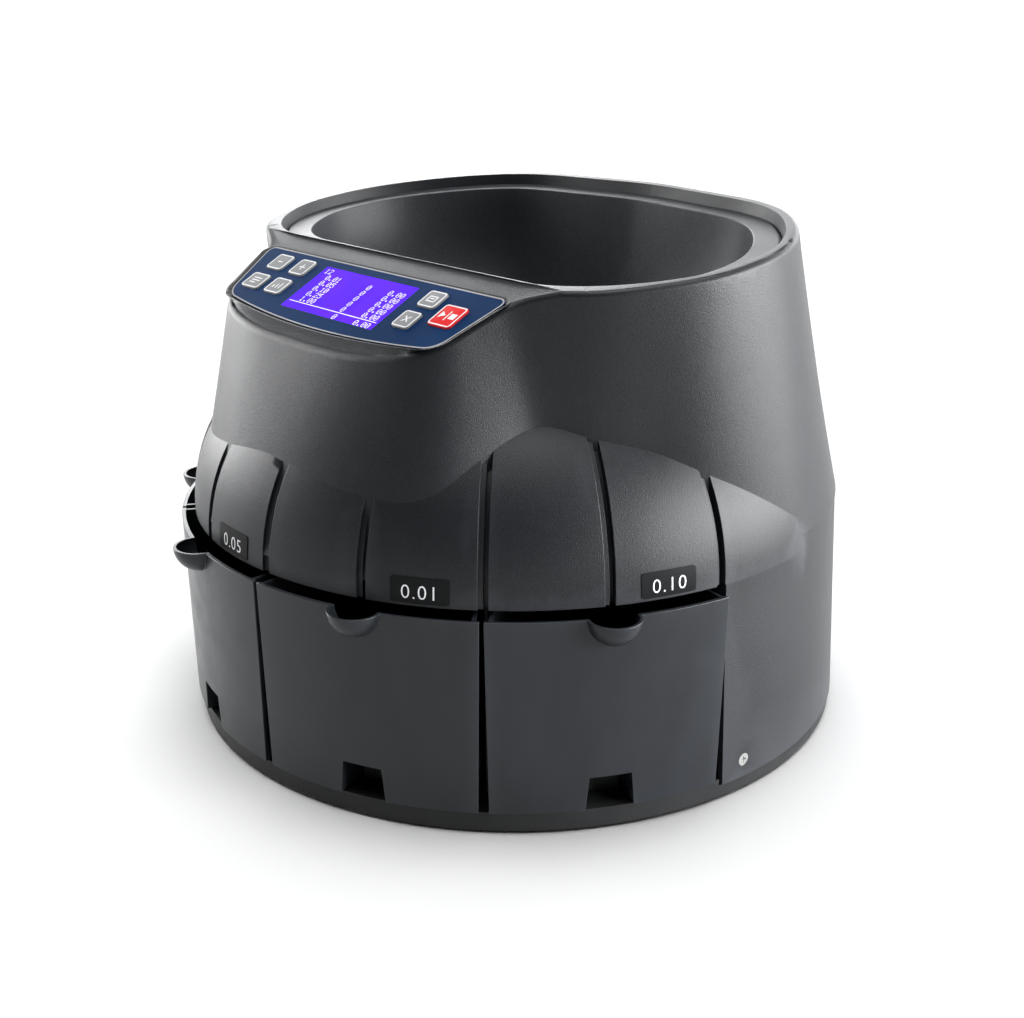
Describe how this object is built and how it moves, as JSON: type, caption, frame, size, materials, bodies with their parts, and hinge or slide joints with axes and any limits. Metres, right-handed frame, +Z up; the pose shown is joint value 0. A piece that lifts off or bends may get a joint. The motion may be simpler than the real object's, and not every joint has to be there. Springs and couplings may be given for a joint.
{
  "type": "electric coin counter and sorter",
  "caption": "Round tabletop coin counter with a hopper on top, a sloped keypad and display, and a ring of pull-out coin drawers under a ribbed skirt.",
  "frame": {"origin": "on the table, under the axis of the rotor and of the round base", "axes": "+Z up, -Y towards the control panel's side, where the operator stands, +X to the operator's right"},
  "size_m": [0.3465, 0.3415, 0.2481],
  "materials": {
    "shell_plastic": "fine textured dark charcoal ABS",
    "drawer_plastic": "smooth satin blue-black ABS",
    "base_plastic": "satin dark ABS",
    "bowl_plastic": "textured dark ABS",
    "frame_plastic": "matt black ABS",
    "overlay_film": "printed polyester film",
    "display_glass": "clear violet-blue window",
    "display_case": "backlit display",
    "key_pale": "satin printed key",
    "key_red": "satin printed key",
    "label_film": "glossy sticker",
    "foot_rubber": "matt black rubber",
    "steel": "brushed",
    "motor_metal": "zinc plated",
    "board": "green laminate",
    "black_plastic": "black nylon",
    "port_metal": "tinned"
  },
  "bodies": {
    "housing": {"top_shell": "shell_plastic", "base_plate": "base_plastic", "hopper_bowl": "bowl_plastic", "frame_drum": "frame_plastic", "drawer_dividers": "frame_plastic", "rear_posts": "frame_plastic", "sorter_deck": "frame_plastic", "coin_chutes": "frame_plastic", "outer_rail": "frame_plastic", "bearing_housing": "frame_plastic", "feed_chute": "frame_plastic", "panel_overlay": "overlay_film", "display_window": "display_glass", "display_module": "display_case", "denomination_label_1": "label_film", "denomination_label_2": "label_film", "denomination_label_3": "label_film", "denomination_label_4": "label_film", "denomination_label_5": "label_film", "rubber_feet": "foot_rubber", "drive_belt": "foot_rubber", "sorting_plate": "steel", "shell_screws": "steel", "base_screws": "steel", "deck_spacers": "steel", "sorter_screws": "steel", "rotor_bearings": "steel", "rear_panel": "steel", "drive_motor": "motor_metal", "key_board": "board", "main_board": "board", "power_supply": "board", "coin_sensor": "black_plastic", "power_inlet": "black_plastic", "switch_housing": "black_plastic", "printer_port": "port_metal"},
    "drawer_1": {"coin_drawer_1": "drawer_plastic"},
    "drawer_2": {"coin_drawer_2": "drawer_plastic"},
    "drawer_3": {"coin_drawer_3": "drawer_plastic"},
    "drawer_4": {"coin_drawer_4": "drawer_plastic"},
    "drawer_5": {"coin_drawer_5": "drawer_plastic"},
    "key_minus_body": {"key_minus": "key_pale"},
    "key_plus_body": {"key_plus": "key_pale"},
    "key_mode_body": {"key_mode": "key_pale"},
    "key_report_body": {"key_report": "key_pale"},
    "key_menu_body": {"key_menu": "key_pale"},
    "key_clear_body": {"key_clear": "key_pale"},
    "key_start_body": {"key_start": "key_red"},
    "rotor": {"rotor_shaft": "steel", "finger_wheel": "frame_plastic", "feed_disc": "frame_plastic", "cap_nut": "steel", "rotor_pulley": "steel"},
    "motor_rotor": {"motor_pulley": "steel"},
    "switch_rocker": {"power_rocker": "black_plastic"}
  },
  "joints": [
    {"name": "drawer_1_slide", "type": "slide", "parent": "housing", "child": "drawer_1", "axis": [0.8829, -0.4695, 0], "range_m": [0, 0.08]},
    {"name": "drawer_2_slide", "type": "slide", "parent": "housing", "child": "drawer_2", "axis": [0.4099, -0.9121, 0], "range_m": [0, 0.08]},
    {"name": "drawer_3_slide", "type": "slide", "parent": "housing", "child": "drawer_3", "axis": [-0.2351, -0.972, 0], "range_m": [0, 0.08]},
    {"name": "drawer_4_slide", "type": "slide", "parent": "housing", "child": "drawer_4", "axis": [-0.7815, -0.6239, 0], "range_m": [0, 0.08]},
    {"name": "drawer_5_slide", "type": "slide", "parent": "housing", "child": "drawer_5", "axis": [-0.9999, -0.014, 0], "range_m": [0, 0.08]},
    {"name": "key_minus_press", "type": "slide", "parent": "housing", "child": "key_minus_body", "axis": [0, 0.4594, -0.8882], "range_m": [0, 0.0008], "stiffness_N_per_m": 900},
    {"name": "key_plus_press", "type": "slide", "parent": "housing", "child": "key_plus_body", "axis": [0, 0.4594, -0.8882], "range_m": [0, 0.0008], "stiffness_N_per_m": 900},
    {"name": "key_mode_press", "type": "slide", "parent": "housing", "child": "key_mode_body", "axis": [0, 0.4594, -0.8882], "range_m": [0, 0.0008], "stiffness_N_per_m": 900},
    {"name": "key_report_press", "type": "slide", "parent": "housing", "child": "key_report_body", "axis": [0, 0.4594, -0.8882], "range_m": [0, 0.0008], "stiffness_N_per_m": 900},
    {"name": "key_menu_press", "type": "slide", "parent": "housing", "child": "key_menu_body", "axis": [0, 0.4594, -0.8882], "range_m": [0, 0.0008], "stiffness_N_per_m": 900},
    {"name": "key_clear_press", "type": "slide", "parent": "housing", "child": "key_clear_body", "axis": [0, 0.4594, -0.8882], "range_m": [0, 0.0008], "stiffness_N_per_m": 900},
    {"name": "key_start_press", "type": "slide", "parent": "housing", "child": "key_start_body", "axis": [0, 0.4594, -0.8882], "range_m": [0, 0.0008], "stiffness_N_per_m": 900},
    {"name": "rotor_spin", "type": "hinge", "parent": "housing", "child": "rotor", "pos_m": [0, 0, 0.13], "axis": [0, 0, -1], "continuous": true},
    {"name": "motor_spin", "type": "hinge", "parent": "housing", "child": "motor_rotor", "pos_m": [0, 0.105, 0.1], "axis": [0, 0, -1], "continuous": true},
    {"name": "power_rocker_tilt", "type": "hinge", "parent": "housing", "child": "switch_rocker", "pos_m": [0, 0.15, 0.04], "axis": [1, 0, 0], "range_deg": [-8, 8]}
  ],
  "couplings": [
    {"joint": "motor_spin", "follows": "rotor_spin", "ratio": 3.75}
  ]
}
